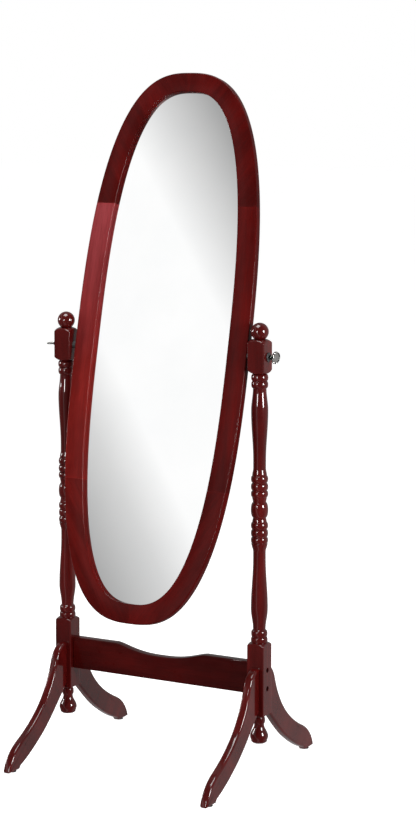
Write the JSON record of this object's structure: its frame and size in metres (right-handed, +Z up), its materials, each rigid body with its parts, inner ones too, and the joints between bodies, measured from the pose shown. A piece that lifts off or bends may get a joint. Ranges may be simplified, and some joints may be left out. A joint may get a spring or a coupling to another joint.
{
  "type": "cheval floor mirror",
  "caption": "Oval floor mirror that tilts between turned wooden posts on splayed legs, held at its sides by thumb screws.",
  "frame": {"origin": "centre of the bounding box's bottom, on the floor midway between the posts", "axes": "+Z up, +X to the viewer's right along the mirror's pivot axis, -Y to the front, towards the person looking in the mirror"},
  "size_m": [0.5716, 0.498, 1.4905],
  "materials": {
    "cherry_wood": "glossy clear lacquer over dark cherry red stain",
    "dowel_wood": "bare beech",
    "mirror_glass": "silvered plate glass",
    "hardboard": "smooth brown hardboard",
    "nickel": "bright nickel plate",
    "zinc_steel": "zinc plated steel",
    "black_steel": "black oxide steel",
    "black_plastic": "black nylon"
  },
  "bodies": {
    "stand": {"left_post": "cherry_wood", "right_post": "cherry_wood", "front_left_leg": "cherry_wood", "front_right_leg": "cherry_wood", "rear_left_leg": "cherry_wood", "rear_right_leg": "cherry_wood", "front_left_foot_glide": "black_plastic", "front_right_foot_glide": "black_plastic", "rear_left_foot_glide": "black_plastic", "rear_right_foot_glide": "black_plastic", "front_left_lower_dowel": "dowel_wood", "front_left_upper_dowel": "dowel_wood", "front_right_lower_dowel": "dowel_wood", "front_right_upper_dowel": "dowel_wood", "rear_left_lower_dowel": "dowel_wood", "rear_left_upper_dowel": "dowel_wood", "rear_right_lower_dowel": "dowel_wood", "rear_right_upper_dowel": "dowel_wood", "stretcher": "cherry_wood", "left_lower_stretcher_bolt": "black_steel", "left_lower_barrel_nut": "zinc_steel", "left_upper_stretcher_bolt": "black_steel", "left_upper_barrel_nut": "zinc_steel", "right_lower_stretcher_bolt": "black_steel", "right_lower_barrel_nut": "zinc_steel", "right_upper_stretcher_bolt": "black_steel", "right_upper_barrel_nut": "zinc_steel", "left_pivot_spacer": "black_plastic", "right_pivot_spacer": "black_plastic"},
    "mirror": {"rim_top_left": "cherry_wood", "rim_top_right": "cherry_wood", "rim_left_side": "cherry_wood", "rim_right_side": "cherry_wood", "rim_bottom_left": "cherry_wood", "rim_bottom_right": "cherry_wood", "mirror_glass": "mirror_glass", "backing_board": "hardboard", "retaining_clip_1": "zinc_steel", "clip_screw_1": "zinc_steel", "retaining_clip_2": "zinc_steel", "clip_screw_2": "zinc_steel", "retaining_clip_3": "zinc_steel", "clip_screw_3": "zinc_steel", "retaining_clip_4": "zinc_steel", "clip_screw_4": "zinc_steel", "retaining_clip_5": "zinc_steel", "clip_screw_5": "zinc_steel", "retaining_clip_6": "zinc_steel", "clip_screw_6": "zinc_steel", "left_pivot_insert": "zinc_steel", "right_pivot_insert": "zinc_steel"},
    "left_washer": {"left_pivot_washer": "black_plastic"},
    "right_washer": {"right_pivot_washer": "black_plastic"},
    "left_screw": {"left_thumbscrew": "nickel"},
    "right_screw": {"right_thumbscrew": "nickel"}
  },
  "joints": [
    {"name": "mirror_tilt", "type": "hinge", "parent": "stand", "child": "mirror", "pos_m": [0, 0, 0.8967], "axis": [1, 0, 0], "continuous": true},
    {"name": "left_washer_travel", "type": "slide", "parent": "mirror", "child": "left_washer", "axis": [-1, 0, 0], "range_m": [0, 0.003]},
    {"name": "left_thumbscrew_turn", "type": "hinge", "parent": "left_washer", "child": "left_screw", "pos_m": [0, 0, 0.8967], "axis": [-1, 0, 0], "range_deg": [0, 1090]},
    {"name": "right_washer_travel", "type": "slide", "parent": "mirror", "child": "right_washer", "axis": [1, 0, 0], "range_m": [0, 0.003]},
    {"name": "right_thumbscrew_turn", "type": "hinge", "parent": "right_washer", "child": "right_screw", "pos_m": [0, 0, 0.8967], "axis": [1, 0, 0], "range_deg": [0, 1090]}
  ],
  "couplings": [
    {"joint": "left_thumbscrew_turn", "follows": "left_washer_travel", "rad_per_m": 6283.2},
    {"joint": "right_thumbscrew_turn", "follows": "right_washer_travel", "rad_per_m": 6283.2}
  ]
}
